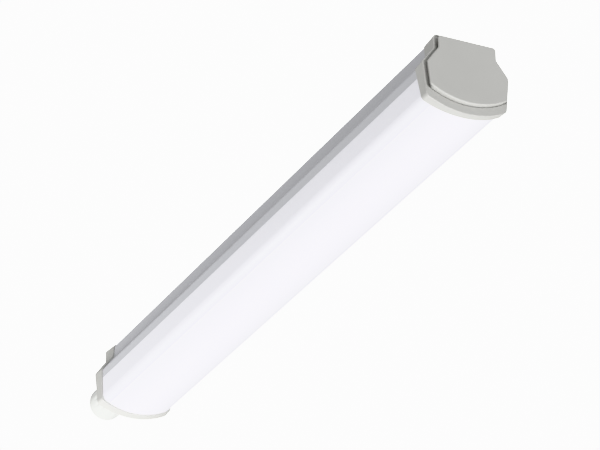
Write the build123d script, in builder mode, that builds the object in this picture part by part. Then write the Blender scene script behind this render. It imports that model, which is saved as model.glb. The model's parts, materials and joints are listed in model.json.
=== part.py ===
"""Ceiling-mounted waterproof LED batten: plastic housing, opal diffuser, end collars and an outside cable connector.

The batten runs along X. The blank end is at +X and the cable connector at -X. Z = 0 is the ceiling, the light
goes down to -Z, and the origin is midway between the two mounting clips, on the ceiling.
"""

from build123d import *
from math import hypot, radians, sin, tan
import os

os.makedirs("parts", exist_ok=True)

# ---------------------------------------------------------------- driving dimensions (mm)
overall_length = 600.0  # over the two end covers
rim_setback = 4.0  # the covers stand this far proud of the collar rims
groove_depth = 1.5  # from a collar's rim down to its end wall
collar_wall = 3.0  # end wall of a collar
collar_depth_top = 16.5  # how far a collar reaches along the batten at its back, rim included
collar_depth_bottom = 7.5  # the same at its lowest point: the sleeve's edge is cut at a slant
collar_draft = 3.5  # degrees by which the sleeve narrows towards the housing
seal_thickness = 2.0  # soft gasket between an end wall and the housing
fit_gap = 0.1  # loose fit between parts that slip over each other

# End outline, half widths and heights below the ceiling
back_z = -0.6
waist_z = -12.0
shoulder_z = -25.0
corner_z = -51.5
bottom_z = -60.0
back_half = 25.5
shoulder_half = 35.0
corner_half = 32.3
back_round = 3.0
waist_round = 1.2
shoulder_round = 2.5
corner_round = 4.5
trough_round = 9.0  # lower corners of the diffuser, before its inset

# Insets from the collar's outer skin
sleeve_skin = 1.8  # collar sleeve over the housing
rim_skin = 0.9  # collar rim round the cover
rim_floor_rise = 5.6  # the rim is this much thicker along the bottom
cover_inset = 2.3  # edge of the end cover
cover_floor_rise = 4.6  # the same extra along the cover's lower edge
cover_lip = 1.4  # thickness of the face where it overhangs the skirt
cover_undercut = 1.6  # shadow gap behind the overhang, at the sides and the back but not along the bottom
cover_skirt = 1.5
cover_face = 2.0
cover_round = 0.9
cover_corner = 2.4
skirt_gap = 0.5
peg_places = [(22.0, -40.0), (-22.0, -40.0)]
peg_radius = 2.5
peg_wall = 1.0
peg_end_gap = 0.3
socket_floor = 1.5
cover_opening_radius = 16.2
entry_radius = 10.2
knockout_groove = 1.2
knockout_depth = 1.0
rim_round = 0.4
sleeve_edge_round = 0.3
small_round = 0.5
seal_margin = 1.2

housing_skin = 2.4
diffuser_skin = 1.7
joint_z = -32.5  # where the housing ends and the diffuser starts
tongue_skin = 1.2
tongue_end_z = -37.5
hook_height = 1.3
seal_cord_width = 0.8
seal_cord_height = 1.2

# Back channel for the mounting clips
mouth_half = 8.0
channel_half = 12.0
channel_skin = 1.8
channel_depth = 2.6
lip_thickness = 2.1

# End screws and the ports they turn into
port_places = [(18.3, -7.8), (24.3, -21.9)]
port_radius = 3.3
screw_hole_radius = 1.75
screw_radius = 1.7
screw_length = 16.0
screw_head_radius = 3.4
screw_head_height = 1.7
screw_clearance_radius = 2.1
recess_width = 0.9
recess_length = 3.8
recess_depth = 1.0

# Gear tray and its rails
tray_z = -28.5  # underside of the tray
tray_thickness = 1.0
tray_half = 29.6
tray_end_x = 268.0
rail_height = 1.3
rail_reach = 2.2
pull_tab_half = 6.0
pull_tab_height = 7.0
pull_tab_shift = -14.0  # the far tab stands clear of the mains wires
tray_corner = 2.0
wire_hole_radius = 6.0
grommet_lip = 0.8
earth_x = -240.0
earth_y = 14.5
earth_tag_radius = 2.9
earth_tag_thickness = 0.8
earth_tag_neck = 2.6
earth_barrel_radius = 1.8
earth_barrel_length = 6.0

# LED boards
board_length = 250.0
board_half = 12.0
board_thickness = 1.6
board_gap = 24.0
led_length = 3.5
led_width = 2.8
led_height = 0.8
led_count = 21
led_pitch = 11.0
led_row_y = 7.0
board_screw_spacing = 105.0
board_screw_radius = 1.5
board_screw_head_radius = 2.8
board_screw_head_height = 1.6
board_screw_reach = 2.5
connector_block_length = 8.0
connector_block_half = 5.5
connector_block_height = 4.0
connector_pocket_depth = 3.0
link_y = 4.0
dc_y = 1.6

# Driver (power supply)
driver_x = -120.0
driver_length = 150.0
driver_half = 16.0
driver_height = 13.5
driver_skin = 1.2
driver_board_thickness = 1.6
driver_board_lift = 2.5
driver_ear = 12.0
driver_screw_y = 11.5
driver_screw_reach = 2.1
driver_corner = 2.0
driver_post_inset = 24.0
driver_post_radius = 2.0
driver_board_margin = 2.0
vent_pitch = 9.0
vent_count = 13
vent_width = 2.0
transformer_length = 24.0
transformer_width = 18.0
winding_width = 4.0
component_height = 6.6
capacitor_length = 13.0
capacitor_places = [(45.0, 6.0), (45.0, -6.0), (-40.0, 5.0)]
terminal_length = 9.0
terminal_half = 7.0
terminal_height = 8.0
terminal_pocket = 4.0
mains_y = 3.0

# Outside cable connector, on the centre line of the -X end
connector_z = -23.0
connector_seal_thickness = 1.5
connector_flange_radius = 15.0
connector_flange_thickness = 5.0
connector_barrel_radius = 11.0
connector_bore_radius = 8.6
connector_barrel_length = 33.0
stem_radius = 10.0
stem_bore_radius = 6.5
stem_length = 12.0
locknut_across_flats = 24.0
locknut_thickness = 5.0
nut_radius = 15.0
nut_length = 59.0
nut_dome = 7.0
nut_gap = 1.0
seal_set_in = 1.0  # the connector's seal stays inside the flange's edge
nut_outlet_radius = 7.0
nut_outlet_length = 10.0
nut_flute_count = 18
nut_flute_radius = 1.2
nut_flute_length = 42.0
grommet_bore_radius = 4.5
thrust_ring_thickness = 1.5
insert_length = 27.0
contact_count = 3
contact_circle_radius = 4.6
contact_hole_radius = 1.6
contact_setback = 1.0
contact_bore_depth = 8.0
running_gap = 0.05

# Wires
mains_wire_radius = 1.15
dc_wire_radius = 0.85
straight_lead = 9.0  # a wire leaves the stem and meets its terminal straight for about this far
long_lead = 27.0
dc_drop_x = -8.0
bend_share = 0.45  # part of the shorter run that an arc may take at each end

# Mounting clips
clip_x = 200.0
clip_length = 30.0
clip_plate_half = 13.0
clip_thickness = 1.2
clip_arm_thickness = 0.8
clip_arm_outer = 7.4
clip_hook_reach = 3.4
clip_hook_gap = 0.3
clip_hole_radius = 2.25

# ---------------------------------------------------------------- places worked out from them
cover_x = overall_length / 2
rim_x = cover_x - rim_setback
wall_outer_x = rim_x - groove_depth
wall_inner_x = wall_outer_x - collar_wall
body_x = wall_inner_x - seal_thickness
collar_back_x = rim_x - collar_depth_top
floor_sag = corner_z - bottom_z
floor_radius = (corner_half**2 + floor_sag**2) / (2 * floor_sag)
floor_centre_z = bottom_z + floor_radius
housing_back_z = back_z - sleeve_skin
lip_bottom_z = housing_back_z - lip_thickness
channel_floor_z = lip_bottom_z - channel_depth
tray_top_z = tray_z + tray_thickness
board_bottom_z = tray_z - board_thickness
link_z = board_bottom_z - connector_block_height / 2
driver_plate_top_z = tray_top_z + driver_skin
wire_z = driver_plate_top_z + terminal_height / 2
wide = 2 * overall_length  # larger than anything, for cutting bands


# ---------------------------------------------------------------- shared outlines
def section(inset=0.0, least_round=0.4, floor_rise=0.0, low_round=trough_round):
    """The end outline in (y, z), inside the collar's outer skin by inset, and floor_rise more at the bottom."""
    with BuildSketch() as outline:
        with BuildLine():
            Polyline(
                (back_half, back_z),
                (back_half, waist_z),
                (shoulder_half, shoulder_z),
                (corner_half, corner_z),
            )
            mirror(about=Plane.YZ)
            Line((-back_half, back_z), (back_half, back_z))
            ThreePointArc((corner_half, corner_z), (0, bottom_z), (-corner_half, corner_z))
        make_face()
        if inset:
            offset(amount=-inset, kind=Kind.INTERSECTION, mode=Mode.REPLACE)
        if floor_rise:
            with Locations((0, floor_centre_z)):
                Circle(floor_radius - inset - floor_rise, mode=Mode.INTERSECT)
        heights = [row[0].Y for row in outline.vertices().group_by(Axis.Y)]
        rounds = (low_round - inset, shoulder_round - inset, waist_round + inset, back_round - inset)
        for height, radius in zip(heights, rounds):
            corners = outline.vertices().filter_by(lambda v: abs(v.Y - height) < fit_gap)
            fillet(corners, max(radius, least_round))
    return outline.sketch_local


def band(outer_inset, inner_inset, top, bottom):
    """A wall between two insets of the outline, kept between two heights."""
    with BuildSketch() as wall:
        add(section(outer_inset))
        add(section(inner_inset), mode=Mode.SUBTRACT)
        with Locations((0, (top + bottom) / 2)):
            Rectangle(wide, top - bottom, mode=Mode.INTERSECT)
    return wall.sketch_local


def write(piece, name):
    """Label a finished piece and write it to its own file."""
    piece.label = name
    export_step(piece, f"parts/{name}.step")


def end_plane(side, x):
    """A (y, z) sketch plane at distance x from the middle, facing outwards; side is 1 or -1."""
    return Plane(origin=(side * x, 0, 0), x_dir=(0, side, 0), z_dir=(side, 0, 0))


port_spots = [(sign * y, z) for y, z in port_places for sign in (1, -1)]


# ---------------------------------------------------------------- housing
def housing():
    """Extruded grey housing: outer walls, clip channel, screw ports, tray rails and diffuser tongues."""
    inner = sleeve_skin + housing_skin
    channel_height = housing_back_z - channel_floor_z + channel_skin
    tongue_out = sleeve_skin + diffuser_skin + running_gap
    with BuildPart() as profile:
        with BuildSketch(Plane.YZ.offset(-body_x)):
            add(band(sleeve_skin, inner, 0, joint_z))
            add(band(tongue_out, tongue_out + tongue_skin, joint_z + housing_skin, tongue_end_z))
            with Locations((0, housing_back_z - channel_height / 2)):
                Rectangle(2 * (channel_half + channel_skin), channel_height)
            with Locations((0, (lip_bottom_z + channel_floor_z) / 2)):
                Rectangle(2 * channel_half, channel_depth, mode=Mode.SUBTRACT)
            with Locations((0, housing_back_z - lip_thickness / 2)):
                Rectangle(2 * mouth_half, lip_thickness, mode=Mode.SUBTRACT)
            with Locations(*port_spots):
                Circle(port_radius)
                Circle(screw_hole_radius, mode=Mode.SUBTRACT)
        extrude(amount=2 * body_x)
        for level in (tray_top_z + fit_gap + rail_height / 2, tray_z - fit_gap - rail_height / 2):
            with BuildSketch(Plane.YZ.offset(-body_x)):
                add(band(inner - fit_gap, inner + rail_reach, level + rail_height / 2, level - rail_height / 2))
            extrude(amount=2 * body_x)
    return profile.part


write(housing(), "housing_profile")


# ---------------------------------------------------------------- diffuser and its seals
def diffuser():
    """Opal trough that snaps over the housing's tongues, with a rebate for the seal cords."""
    skin_in = sleeve_skin + diffuser_skin
    with BuildPart() as trough:
        with BuildSketch(Plane.YZ.offset(-body_x)):
            add(band(sleeve_skin, skin_in, joint_z, bottom_z))
            add(
                band(skin_in - seal_cord_width, skin_in, joint_z, joint_z - seal_cord_height),
                mode=Mode.SUBTRACT,
            )
            hook_top = tongue_end_z - fit_gap
            add(band(skin_in - fit_gap, skin_in + tongue_skin, hook_top, hook_top - hook_height))
        extrude(amount=2 * body_x)
    return trough.part


def diffuser_seals():
    """Two soft cords lying in the diffuser's rebates, pressed against the housing's lower edge."""
    skin_in = sleeve_skin + diffuser_skin
    with BuildPart() as cords:
        with BuildSketch(Plane.YZ.offset(-body_x)):
            add(band(skin_in - seal_cord_width, skin_in, joint_z, joint_z - seal_cord_height))
        extrude(amount=2 * body_x)
    return cords.part


write(diffuser(), "diffuser")
write(diffuser_seals(), "diffuser_seals")


# ---------------------------------------------------------------- end collars, seals, screws and covers
def end_collar(side, has_entry):
    """Moulded collar: a sleeve over the housing, an end wall and a rim; has_entry opens the cable entry."""
    slant_run = collar_depth_top - collar_depth_bottom
    slant_fall = back_z - bottom_z
    slant = Plane(
        origin=(side * collar_back_x, 0, back_z),
        x_dir=(0, 1, 0),
        z_dir=(side * slant_fall, 0, slant_run),
    )
    with BuildPart() as collar:
        with BuildSketch(end_plane(side, rim_x)):
            add(section(low_round=corner_round))
        extrude(amount=-hypot(collar_depth_top, slant_run), taper=collar_draft)
        split(bisect_by=slant, keep=Keep.TOP)
        rim_edges = collar.faces().sort_by(Axis.X)[-1 if side > 0 else 0].edges()
        fillet(rim_edges, rim_round)
        sleeve_edges = collar.faces().sort_by(Axis.X)[0 if side > 0 else -1].edges()
        fillet(sleeve_edges, sleeve_edge_round)
        with BuildSketch(end_plane(side, collar_back_x - fit_gap)):
            add(section(sleeve_skin))
        extrude(amount=wall_inner_x - collar_back_x + fit_gap, mode=Mode.SUBTRACT)
        with BuildSketch(end_plane(side, rim_x)):
            add(section(rim_skin, cover_corner, rim_floor_rise, corner_round))
        extrude(amount=-groove_depth, mode=Mode.SUBTRACT)
        with BuildSketch(end_plane(side, wall_outer_x)):
            with Locations(*peg_places):
                Circle(peg_radius + running_gap + peg_wall)
        extrude(amount=cover_x - cover_face - wall_outer_x - skirt_gap)
        with BuildSketch(end_plane(side, cover_x - cover_face)):
            with Locations(*peg_places):
                Circle(peg_radius + running_gap)
        extrude(amount=wall_inner_x + socket_floor - cover_x + cover_face, mode=Mode.SUBTRACT)
        with BuildSketch(end_plane(side, wall_outer_x)):
            with Locations((0, connector_z)):
                Circle(entry_radius)
                if not has_entry:
                    Circle(entry_radius - knockout_groove, mode=Mode.SUBTRACT)
        extrude(amount=-(collar_wall if has_entry else knockout_depth), mode=Mode.SUBTRACT)
        with Locations(end_plane(side, wall_outer_x)):
            with Locations(*port_spots):
                CounterSinkHole(screw_clearance_radius, screw_head_radius + fit_gap, collar_wall)
    return collar.part


def end_seal(side):
    """Soft flat gasket over the ends of the housing and diffuser, with pads round the screws."""
    with BuildPart() as gasket:
        with BuildSketch(end_plane(side, body_x)):
            add(section(sleeve_skin + fit_gap))
            add(section(sleeve_skin + housing_skin + seal_margin), mode=Mode.SUBTRACT)
            with Locations(*port_spots):
                Circle(port_radius + fit_gap)
                Circle(screw_clearance_radius, mode=Mode.SUBTRACT)
        extrude(amount=seal_thickness)
    return gasket.part


def end_screws(side):
    """Four countersunk self-tapping screws with cross recesses."""
    with BuildPart() as screws:
        with BuildSketch(end_plane(side, wall_outer_x)):
            with Locations(*port_spots):
                Circle(screw_head_radius)
        extrude(amount=-screw_head_height, taper=45)
        with BuildSketch(end_plane(side, wall_outer_x - screw_head_height)):
            with Locations(*port_spots):
                Circle(screw_radius)
        extrude(amount=-screw_length)
        tips = screws.faces().filter_by(Plane.YZ).group_by(Axis.X)[0 if side > 0 else -1]
        chamfer(tips.edges(), screw_radius / 2)
        with BuildSketch(end_plane(side, wall_outer_x)):
            with Locations(*port_spots):
                Rectangle(recess_length, recess_width)
                Rectangle(recess_width, recess_length)
        extrude(amount=-recess_depth, mode=Mode.SUBTRACT)
    return screws.part


def end_cover(side, has_opening):
    """Snap-on cover panel with a skirt and two pegs; has_opening clears the cable connector."""
    face_back_x = cover_x - cover_face
    with BuildPart() as cover:
        with BuildSketch(end_plane(side, wall_outer_x + skirt_gap)):
            add(section(cover_inset, cover_corner, cover_floor_rise, corner_round))
        extrude(amount=cover_x - wall_outer_x - skirt_gap)
        fillet(cover.faces().sort_by(Axis.X)[-1 if side > 0 else 0].edges(), cover_round)
        skirt_inset = cover_inset + cover_undercut
        skirt_rise = cover_floor_rise - cover_undercut
        with BuildSketch(end_plane(side, cover_x - cover_lip)):
            add(section(0, floor_rise=0, low_round=corner_round))
            add(section(skirt_inset, cover_corner, skirt_rise, corner_round), mode=Mode.SUBTRACT)
        extrude(amount=-(cover_x - cover_lip - wall_outer_x), mode=Mode.SUBTRACT)
        with BuildSketch(end_plane(side, face_back_x)):
            skirt_round = cover_corner - cover_skirt
            add(section(skirt_inset + cover_skirt, skirt_round, skirt_rise, corner_round))
        extrude(amount=-(face_back_x - wall_outer_x), mode=Mode.SUBTRACT)
        with BuildSketch(end_plane(side, face_back_x)):
            with Locations(*peg_places):
                Circle(peg_radius)
        extrude(amount=wall_inner_x + socket_floor + peg_end_gap - face_back_x)
        if has_opening:
            with BuildSketch(end_plane(side, cover_x)):
                with Locations((0, connector_z)):
                    Circle(cover_opening_radius)
            extrude(amount=-cover_x + wall_outer_x, mode=Mode.SUBTRACT)
    return cover.part


for end_name, end_side, open_end in (("near", 1, False), ("far", -1, True)):
    write(end_collar(end_side, open_end), f"end_collar_{end_name}")
    write(end_seal(end_side), f"end_seal_{end_name}")
    write(end_screws(end_side), f"end_screws_{end_name}")
    write(end_cover(end_side, open_end), f"end_cover_{end_name}")


# ---------------------------------------------------------------- gear tray and LED boards
board_centres = [side * (board_gap + board_length) / 2 for side in (1, -1)]
board_screw_spots = [(x + dx, 0) for x in board_centres for dx in (-board_screw_spacing, 0, board_screw_spacing)]
driver_screw_x = driver_length / 2 + driver_ear / 2
driver_screw_spots = [
    (driver_x + sx * driver_screw_x, sy * driver_screw_y) for sx in (1, -1) for sy in (1, -1)
]


def gear_tray():
    """Sheet-steel tray that slides in the housing's rails, with a pull tab bent up at each end."""
    with BuildPart() as tray:
        with BuildSketch(Plane.XY.offset(tray_z)):
            Rectangle(2 * tray_end_x, 2 * tray_half)
            with Locations(*board_screw_spots, *driver_screw_spots, (earth_x, earth_y)):
                Circle(board_screw_radius + running_gap, mode=Mode.SUBTRACT)
            with Locations((0, 0)):
                Circle(wire_hole_radius, mode=Mode.SUBTRACT)
        extrude(amount=tray_thickness)
        tab_x = tray_end_x - tray_thickness / 2
        with BuildSketch(Plane.XY.offset(tray_top_z)):
            with Locations((tab_x, 0), (-tab_x, pull_tab_shift)):
                Rectangle(tray_thickness, 2 * pull_tab_half)
        extrude(amount=pull_tab_height)
        sheet_corners = tray.edges().filter_by(Axis.Z).filter_by(lambda e: abs(e.center().Y) > tray_half - fit_gap)
        fillet(sheet_corners, tray_corner)
    return tray.part


def led_board(x):
    """One white printed board, screwed under the tray."""
    with BuildPart() as board:
        with BuildSketch(Plane.XY.offset(board_bottom_z)):
            with Locations((x, 0)):
                Rectangle(board_length, 2 * board_half)
            with Locations(*board_screw_spots):
                Circle(board_screw_radius + running_gap, mode=Mode.SUBTRACT)
        extrude(amount=board_thickness)
    return board.part


def led_packages(x):
    """Two rows of surface-mounted LEDs on one board."""
    with BuildPart() as leds:
        with BuildSketch(Plane.XY.offset(board_bottom_z - led_height)):
            with Locations((x, 0)):
                with GridLocations(led_pitch, 2 * led_row_y, led_count, 2):
                    Rectangle(led_width, led_length)
        extrude(amount=led_height)
    return leds.part


def board_connectors():
    """Two wire connectors on the boards' inner ends, open towards each other."""
    block_x = board_gap / 2 + connector_block_length / 2
    with BuildPart() as blocks:
        with BuildSketch(Plane.XY.offset(board_bottom_z - connector_block_height)):
            with Locations((block_x, 0), (-block_x, 0)):
                Rectangle(connector_block_length, 2 * connector_block_half)
        extrude(amount=connector_block_height)
        with BuildSketch(Plane.YZ.offset(-board_gap / 2 - connector_pocket_depth)):
            with Locations(*[(y, link_z) for y in (-link_y, -dc_y, dc_y, link_y)]):
                Circle(dc_wire_radius + running_gap)
        extrude(amount=board_gap + 2 * connector_pocket_depth, mode=Mode.SUBTRACT)
    return blocks.part


def pan_screws(spots, seat_z, reach):
    """Pan-head screws driven along Z from seat_z; reach is signed, positive upwards."""
    way = 1 if reach > 0 else -1
    with BuildPart() as screws:
        with BuildSketch(Plane.XY.offset(seat_z)):
            with Locations(*spots):
                Circle(board_screw_head_radius)
        extrude(amount=-way * board_screw_head_height)
        with BuildSketch(Plane.XY.offset(seat_z)):
            with Locations(*spots):
                Circle(board_screw_radius)
        extrude(amount=reach)
        with BuildSketch(Plane.XY.offset(seat_z - way * board_screw_head_height)):
            with Locations(*spots):
                Rectangle(recess_length, recess_width)
                Rectangle(recess_width, recess_length)
        extrude(amount=way * recess_depth, mode=Mode.SUBTRACT)
    return screws.part


def wire_grommet():
    """Soft bush in the tray's wire hole."""
    with BuildPart() as bush:
        with BuildSketch(Plane.XY.offset(tray_z)):
            Circle(wire_hole_radius - running_gap)
        extrude(amount=tray_thickness)
        with BuildSketch(Plane.XY.offset(tray_top_z)):
            Circle(wire_hole_radius + grommet_lip)
        extrude(amount=grommet_lip)
        with BuildSketch(Plane.XY.offset(tray_z - grommet_lip)):
            Circle(wire_hole_radius + grommet_lip)
        extrude(amount=grommet_lip)
        with BuildSketch(Plane.XY.offset(tray_z - grommet_lip)):
            Circle(wire_hole_radius - grommet_lip)
        extrude(amount=tray_thickness + 2 * grommet_lip, mode=Mode.SUBTRACT)
    return bush.part


write(gear_tray(), "gear_tray")
for board_name, board_x in zip(("near", "far"), board_centres):
    write(led_board(board_x), f"led_board_{board_name}")
    write(led_packages(board_x), f"led_packages_{board_name}")
write(board_connectors(), "board_connectors")
write(pan_screws(board_screw_spots, board_bottom_z, board_screw_reach), "board_screws")
write(wire_grommet(), "tray_grommet")


# ---------------------------------------------------------------- driver
driver_board_z = driver_plate_top_z + driver_board_lift
driver_board_top_z = driver_board_z + driver_board_thickness
terminal_spots = [driver_x + side * (driver_length + terminal_length + fit_gap) / 2 for side in (1, -1)]


def driver_base():
    """Flat base plate with screw ears at both ends and posts for the circuit board."""
    with BuildPart() as plate:
        with BuildSketch(Plane.XY.offset(tray_top_z)):
            with Locations((driver_x, 0)):
                RectangleRounded(driver_length + 2 * driver_ear, 2 * driver_half, driver_corner)
            with Locations(*driver_screw_spots):
                Circle(board_screw_radius + running_gap, mode=Mode.SUBTRACT)
        extrude(amount=driver_skin)
        with BuildSketch(Plane.XY.offset(driver_plate_top_z)):
            with Locations((driver_x, 0)):
                with GridLocations(driver_length - driver_post_inset, driver_half, 2, 2):
                    Circle(driver_post_radius)
        extrude(amount=driver_board_lift)
    return plate.part


def driver_cover():
    """Box-shaped cover, open below, with vent slots and a wire notch in each end."""
    height = driver_height - driver_skin
    with BuildPart() as shell:
        with BuildSketch(Plane.XY.offset(driver_plate_top_z)):
            with Locations((driver_x, 0)):
                RectangleRounded(driver_length, 2 * driver_half, driver_corner)
        extrude(amount=height)
        fillet(shell.faces().sort_by(Axis.Z)[-1].edges(), driver_corner / 2)
        with BuildSketch(Plane.XY.offset(driver_plate_top_z)):
            with Locations((driver_x, 0)):
                Rectangle(driver_length - 2 * driver_skin, 2 * (driver_half - driver_skin))
        extrude(amount=height - driver_skin, mode=Mode.SUBTRACT)
        with BuildSketch(Plane.XY.offset(driver_plate_top_z + height)):
            with Locations((driver_x, 0)):
                with GridLocations(vent_pitch, 0, vent_count, 1):
                    SlotOverall(driver_half, vent_width, rotation=90)
        extrude(amount=-driver_skin, mode=Mode.SUBTRACT)
    return shell.part


def driver_circuit_board():
    """Circuit board standing on the base's posts."""
    with BuildPart() as board:
        with BuildSketch(Plane.XY.offset(driver_board_z)):
            with Locations((driver_x, 0)):
                Rectangle(driver_length - 2 * driver_board_margin, 2 * (driver_half - driver_board_margin))
        extrude(amount=driver_board_thickness)
    return board.part


def driver_transformer():
    """Wound transformer: a ferrite core round a bobbin."""
    with BuildPart() as core:
        with BuildSketch(Plane.XY.offset(driver_board_top_z)):
            with Locations((driver_x, 0)):
                Rectangle(transformer_length, transformer_width)
        extrude(amount=component_height)
        with BuildSketch(Plane.XY.offset(driver_board_top_z + component_height)):
            with Locations((driver_x, 0)):
                with GridLocations(0, transformer_width - winding_width, 1, 2):
                    Rectangle(transformer_length / 2, winding_width)
        extrude(amount=-component_height / 3, mode=Mode.SUBTRACT)
        fillet(core.edges().filter_by(Axis.Z).group_by(Axis.X)[0], small_round)
        fillet(core.edges().filter_by(Axis.Z).group_by(Axis.X)[-1], small_round)
    return core.part


def driver_capacitors():
    """Three electrolytic capacitors lying on the circuit board."""
    with BuildPart() as cans:
        for x, y in capacitor_places:
            with BuildSketch(Plane.YZ.offset(driver_x + x - capacitor_length / 2)):
                with Locations((y, driver_board_top_z + component_height / 2)):
                    Circle(component_height / 2)
            extrude(amount=capacitor_length)
        fillet(cans.faces().filter_by(Plane.YZ).edges(), small_round)
    return cans.part


def driver_terminal(x, radius, wire_ys):
    """Push-in terminal block standing on one ear of the base plate."""
    with BuildPart() as block:
        with BuildSketch(Plane.XY.offset(driver_plate_top_z)):
            with Locations((x, 0)):
                Rectangle(terminal_length, 2 * terminal_half)
        extrude(amount=terminal_height)
        fillet(block.edges().filter_by(Axis.Z), small_round)
        outer_x = x + (terminal_length / 2 if x > driver_x else -terminal_length / 2)
        with BuildSketch(Plane.YZ.offset(outer_x)):
            with Locations(*[(y, wire_z) for y in wire_ys]):
                Circle(radius + running_gap)
        extrude(amount=-terminal_pocket if x > driver_x else terminal_pocket, mode=Mode.SUBTRACT)
    return block.part


write(driver_base(), "driver_base")
write(driver_cover(), "driver_cover")
write(driver_circuit_board(), "driver_circuit_board")
write(driver_transformer(), "driver_transformer")
write(driver_capacitors(), "driver_capacitors")
write(driver_terminal(terminal_spots[1], mains_wire_radius, (-mains_y, mains_y)), "driver_input_terminal")
write(driver_terminal(terminal_spots[0], dc_wire_radius, (-dc_y, dc_y)), "driver_output_terminal")
write(pan_screws(driver_screw_spots, driver_plate_top_z, -driver_screw_reach), "driver_screws")


# ---------------------------------------------------------------- outside cable connector
connector_axis = Axis((0, 0, connector_z), (1, 0, 0))
flange_x = -(wall_outer_x + connector_seal_thickness)
barrel_x = flange_x - connector_flange_thickness
barrel_end_x = barrel_x - connector_barrel_length
nut_x = barrel_x - nut_gap
nut_end_x = nut_x - nut_length
nut_seat_x = nut_end_x + nut_outlet_length
thrust_x = barrel_end_x - fit_gap
grommet_x = thrust_x - thrust_ring_thickness


def turned(*spans):
    """Rings about the connector's axis: each span is (x from, x to, outer radius, inner radius)."""
    with BuildPart() as ring:
        for start, end, outer, _ in spans:
            with BuildSketch(Plane.YZ.offset(min(start, end))):
                with Locations((0, connector_z)):
                    Circle(outer)
            extrude(amount=abs(end - start))
        for start, end, _, inner in spans:
            with BuildSketch(Plane.YZ.offset(min(start, end))):
                with Locations((0, connector_z)):
                    Circle(inner)
            extrude(amount=abs(end - start), mode=Mode.SUBTRACT)
    return ring.part


def connector_body():
    """Fixed half of the connector: threaded stem, round flange and terminal barrel, in one moulding."""
    with BuildPart() as body:
        add(
            turned(
                (flange_x + stem_length, flange_x, stem_radius, stem_bore_radius),
                (flange_x, barrel_x, connector_flange_radius, stem_bore_radius),
                (barrel_x, barrel_end_x, connector_barrel_radius, connector_bore_radius),
            )
        )
        flange_edges = body.edges().filter_by(GeomType.CIRCLE).filter_by(
            lambda e: e.radius > connector_flange_radius - fit_gap
        )
        fillet(flange_edges, small_round)
    return body.part


def connector_locknut():
    """Thin hexagonal nut inside the end wall."""
    with BuildPart() as nut:
        with BuildSketch(Plane.YZ.offset(-wall_inner_x)):
            with Locations((0, connector_z)):
                RegularPolygon(locknut_across_flats / 2, 6, major_radius=False, rotation=30)
                Circle(stem_radius + running_gap, mode=Mode.SUBTRACT)
        extrude(amount=locknut_thickness)
    return nut.part


def terminal_insert():
    """Round three-pole terminal carrier inside the barrel, open to the wires at both ends."""
    with BuildPart() as insert:
        with BuildSketch(Plane.YZ.offset(barrel_x)):
            with Locations((0, connector_z)):
                Circle(connector_bore_radius - running_gap)
                with PolarLocations(contact_circle_radius, contact_count, start_angle=90):
                    Circle(contact_hole_radius, mode=Mode.SUBTRACT)
        extrude(amount=-insert_length)
    return insert.part


def terminal_contacts():
    """Three brass contact tubes in the carrier, each with a flat end."""
    with BuildPart() as contacts:
        with BuildSketch(Plane.YZ.offset(barrel_x - contact_setback)):
            with Locations((0, connector_z)):
                with PolarLocations(contact_circle_radius, contact_count, start_angle=90):
                    Circle(contact_hole_radius - running_gap)
        extrude(amount=-insert_length + 2 * contact_setback)
        with BuildSketch(Plane.YZ.offset(barrel_x - insert_length + contact_setback)):
            with Locations((0, connector_z)):
                with PolarLocations(contact_circle_radius, contact_count, start_angle=90):
                    Circle(contact_hole_radius / 2)
        extrude(amount=contact_bore_depth, mode=Mode.SUBTRACT)
    return contacts.part


def cable_nut():
    """Long fluted clamping nut with a domed end and a round cable outlet."""
    with BuildPart() as nut:
        add(
            turned(
                (nut_x, nut_seat_x, nut_radius, connector_barrel_radius + running_gap),
                (nut_seat_x, nut_end_x, nut_radius, nut_outlet_radius),
            )
        )
        dome_edge = nut.edges().filter_by(GeomType.CIRCLE).group_by(Axis.X)[0].sort_by(SortBy.RADIUS)[-1]
        fillet(dome_edge, nut_dome)
        with BuildSketch(Plane.YZ.offset(nut_x)):
            with Locations((0, connector_z)):
                with PolarLocations(nut_radius + nut_flute_radius / 2, nut_flute_count):
                    Circle(nut_flute_radius)
        extrude(amount=-nut_flute_length, mode=Mode.SUBTRACT)
    return nut.part


write(connector_body(), "connector_body")
write(turned((-wall_outer_x, flange_x, connector_flange_radius - seal_set_in, stem_radius + running_gap)), "connector_seal")
write(connector_locknut(), "connector_locknut")
write(terminal_insert(), "terminal_insert")
write(terminal_contacts(), "terminal_contacts")
write(turned((thrust_x, grommet_x, connector_barrel_radius, connector_bore_radius)), "thrust_ring")
write(
    turned((grommet_x, nut_seat_x + running_gap, connector_barrel_radius - fit_gap, grommet_bore_radius)),
    "cable_grommet",
)
write(cable_nut(), "cable_nut")


# ---------------------------------------------------------------- wiring
def bends(points):
    """The largest arc radius that the runs on both sides of each inner point leave room for."""
    corners = [Vector(*point) for point in points]
    runs = [after - before for before, after in zip(corners, corners[1:])]
    radii = []
    for run_in, run_out in zip(runs, runs[1:]):
        shorter = min(run_in.length, run_out.length)
        radii.append(bend_share * shorter / tan(radians(run_in.get_angle(run_out)) / 2))
    return radii


def wire(points, radius, name):
    """A round insulated wire along straight runs joined by arcs."""
    radii = bends(points)
    print(name, "bend radii", [round(r, 1) for r in radii])
    with BuildPart() as lead:
        with BuildLine() as route:
            FilletPolyline(*points, radius=radii)
        with BuildSketch(Plane(origin=route.wire() @ 0, z_dir=route.wire() % 0)):
            Circle(radius)
        sweep()
    return lead.part


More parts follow.
